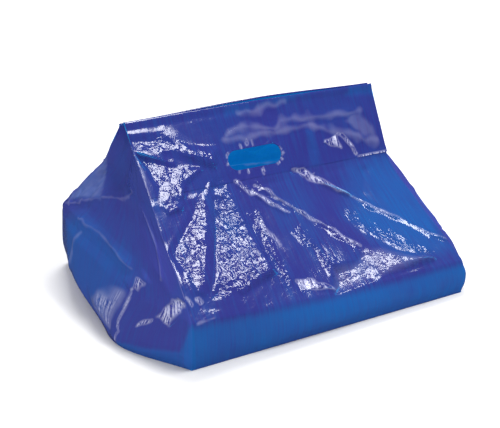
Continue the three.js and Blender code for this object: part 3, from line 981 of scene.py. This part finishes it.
def hem_gap(side, share, above, down):
    """Gap behind the turned-over top, from the shares across it and the heights above its loose
    edge and below the mouth."""
    gap = HEM_GAP + (HEM_ROLL - HEM_GAP) * smooth(1 - down / 12)
    x = share * WIDTHS[side] + SIDE_START[side]
    wave = 0.5 + 0.5 * np.sin(x / 17.0 + 1.3 * np.sin(x / 41.0))
    gap += HEM_WAVE * wave * smooth(1 - above / 24) * smooth((share - 0.6) / 0.3)
    flare = smooth((share - 0.84) / 0.16) if side == "front" else smooth((0.2 - share) / 0.2)
    return gap + HEM_FLARE * flare * smooth(1 - above / 46)


def roll_over(layer, out, rise, gap):
    """Carries a layer on over the mouth, nearly half a circle round, to the film behind it."""
    radius = (gap + FILM) / 2
    roll = []
    for turn in np.radians((45, 90, 135, 170)):
        roll.append(layer.points[:, -1] + radius * (rise * np.sin(turn) - out * (1 - np.cos(turn))))
    layer.points = np.concatenate([layer.points, np.stack(roll, axis=1)], axis=1)

    def pad(values):
        return np.concatenate([values, np.repeat(values[:, -1:], len(roll), axis=1)], axis=1)

    layer.maps, layer.x, layer.y, layer.keep = map(pad, (layer.maps, layer.x, layer.y, layer.keep))
    layer.refresh()


def turned_over(skin, side, columns, rows, handle, half):
    """The turned-over top: film that rolls over at the mouth and hangs down outside."""
    layer = skin.layer(columns, rows)
    above = layer.y - LEVELS[NECK] * HEIGHT - HEM_EDGE
    share = (layer.x - SIDE_START[side]) / WIDTHS[side]
    gap = hem_gap(side, share, above, HEIGHT - layer.y)
    layer.lift(gap)
    layer.refresh()
    handle.trim(layer, lambda x, y: handle.hole(x, y, grow=HEM_HOLE), keep_inside=False)
    if side == "front":
        # Painted highlight: pale colour along the flared loose edge at the right end
        painted_highlight_edge = smooth((share - 0.86) / 0.02) * smooth((3.6 - above) / 2.0)
        layer.maps[..., 2] = np.maximum(layer.maps[..., 2], painted_highlight_edge)
    rise = skin.points[columns, -1] - skin.points[columns, -3]
    rise /= np.linalg.norm(rise, axis=-1, keepdims=True)
    roll_over(layer, skin.normals[columns, rows[-1]], rise, gap[:, -1:])
    return layer.build(f"{side}_hem_{half}", MATERIALS["hem"], MATERIALS["inside"])


def handle_patch(skin, side, handle):
    """The reinforcement welded behind a hand hole."""
    layer = skin.layer(skin.columns(side), np.arange(skin.neck + 2, len(skin.rows) - 1))
    layer.lift(-PATCH_DEPTH)
    handle.trim(layer, handle.patch, keep_inside=True)
    handle.trim(layer, handle.hole, keep_inside=False)
    return layer.build(f"{side}_patch", MATERIALS["patch"], MATERIALS["inside"])


# --- Base
SEAM_HALF = 4       # half of the bottom seam's width
SEAM_INSET = 30     # the base film's folds end this far in from the seam's ends
SEAM_PITCH = 3      # of the seam's ribs
SEAM_FILM = 0.5     # the welded film's thickness
BASE_RINGS = 16


def flat_maps(shape, tone_and_painted_light, crinkle, painted_highlight):
    """The same three map values at every point of a grid."""
    return np.zeros(shape + (3,)) + (tone_and_painted_light, crinkle, painted_highlight)


def base_film(skin):
    """The flat bottom, drawn in from the foot of the walls to the bottom seam."""
    low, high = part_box("bottom_seal")
    seam_y = (low.y + high.y) * 500
    foot = skin.points[:, 0]
    foot = np.concatenate([foot, foot[:1]])[::-1]
    side = np.where(foot[:, 1] < seam_y, -1, 1)
    middle = np.stack([np.clip(foot[:, 0], low.x * 1000 + SEAM_INSET, high.x * 1000 - SEAM_INSET),
                       seam_y + side * (SEAM_HALF - 1), np.zeros(len(foot))], axis=1)
    share = np.linspace(0, 1, BASE_RINGS)[None, :, None]
    points = foot[:, None] * (1 - share) + middle[:, None] * share
    x, y = points[..., 0], points[..., 1]
    bumps = 0.35 * np.sin(x / 23 + 2 * np.sin(y / 31)) * smooth(share[..., 0] * 6)
    points[..., 2] = FILM + FLOOR_GAP + np.maximum(bumps, 0)
    layer = Layer(points, flat_maps(x.shape, 0.5, 0.4, 0.0), x, y)
    piece = layer.build("base_film", MATERIALS["base"], MATERIALS["inside"])
    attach(piece, "bag_body")
    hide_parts("base_front", "base_back")


def bottom_seam():
    """The welded seam across the bottom, pressed in small cross ribs."""
    low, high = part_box("bottom_seal")
    along = np.arange(low.x * 1000, high.x * 1000, SEAM_PITCH / 2)
    x, y = np.meshgrid(along, np.linspace(-SEAM_HALF, SEAM_HALF, 9), indexing="ij")
    ribs = 0.18 * np.cos(x * 2 * math.pi / SEAM_PITCH) * (np.abs(y) < 2.5)
    crown = 0.8 * (1 - (y / SEAM_HALF) ** 2)
    points = np.stack([x, (low.y + high.y) * 500 + y, 1.0 + crown + ribs], axis=-1)
    layer = Layer(points, flat_maps(x.shape, 0.3, 0.3, 0.1), x, y, thick=SEAM_FILM)
    piece = layer.build("bottom_seam", MATERIALS["seam"], MATERIALS["seam"])
    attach(piece, "bag_body")
    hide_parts("bottom_seal")


# --- Studio
FLOOR_HALF = 6.0
SURROUND = 0.75            # brightness of the surround as light
SURROUND_REFLECTED = 0.06  # and as a reflection, so that the dark film stays dark

CAMERA_AT = (-0.8175, -1.5153, 1.1443)
CAMERA_LENS = 93.6
AZIMUTH = -28
ELEVATION = 31


def softbox(name, direction, distance, side, radiance, aim=(0, 0, 0.12)):
    """A square light panel that faces the bag. radiance is how bright the panel looks."""
    light = bpy.data.lights.new(name, "AREA")
    light.size = side
    light.energy = radiance * math.pi * side * side
    lamp = bpy.data.objects.new(name, light)
    away = Vector(direction).normalized()
    lamp.location = Vector(aim) + away * distance
    lamp.rotation_euler = away.to_track_quat("Z", "Y").to_euler()
    bpy.context.scene.collection.objects.link(lamp)


def surround():
    """Soft white light from all round."""
    world = bpy.data.worlds.new("studio")
    bpy.context.scene.world = world
    world.use_nodes = True
    tree = world.node_tree
    backdrop = tree.nodes["Background"]
    path = tree.nodes.new("ShaderNodeLightPath")
    level = tree.nodes.new("ShaderNodeMapRange")
    level.inputs["To Min"].default_value = SURROUND
    level.inputs["To Max"].default_value = SURROUND_REFLECTED
    tree.links.new(path.outputs["Is Glossy Ray"], level.inputs["Value"])
    tree.links.new(level.outputs[0], backdrop.inputs["Strength"])
    backdrop.inputs["Color"].default_value = (1, 1, 1, 1)


def floor():
    """A plain pale floor."""
    a = FLOOR_HALF
    mesh = bpy.data.meshes.new("floor")
    mesh.from_pydata([(-a, -a, 0), (a, -a, 0), (a, a, 0), (-a, a, 0)], [], [(0, 1, 2, 3)])
    piece = bpy.data.objects.new("floor", mesh)
    bpy.context.scene.collection.objects.link(piece)
    paper = Nodes("floor_paper")
    grain = paper.noise(paper.add("ShaderNodeTexCoord").outputs["Object"], 6, 2)
    pale = paper.mix(grain, (0.93, 0.93, 0.93, 1), (0.95, 0.95, 0.95, 1))
    paper.feed(pale, paper.shader.inputs["Base Color"])
    paper.shader.inputs["Roughness"].default_value = 0.9
    paper.shader.inputs["Specular IOR Level"].default_value = 0.1
    mesh.materials.append(paper.material)
    piece.visible_glossy = False


def camera():
    data = bpy.data.cameras.new("camera")
    data.lens, data.sensor_width = CAMERA_LENS, 36.0
    eye = bpy.data.objects.new("camera", data)
    eye.location = CAMERA_AT
    eye.rotation_euler = (math.radians(90 - ELEVATION), 0, math.radians(AZIMUTH))
    bpy.context.scene.collection.objects.link(eye)
    bpy.context.scene.camera = eye
    bpy.context.scene.view_settings.view_transform = "Standard"


# --- The bag
camera()
softbox("key", (0.10, 0.25, 0.96), 2.2, 0.9, 11)
softbox("front", (0.30, -0.40, 0.86), 2.0, 0.6, 18)
surround()
floor()
skin = Skin(CELL)
body_film(skin)
base_film(skin)
bottom_seam()
for name in ("front", "back"):
    bag_top(skin, name, skin.handles[name])
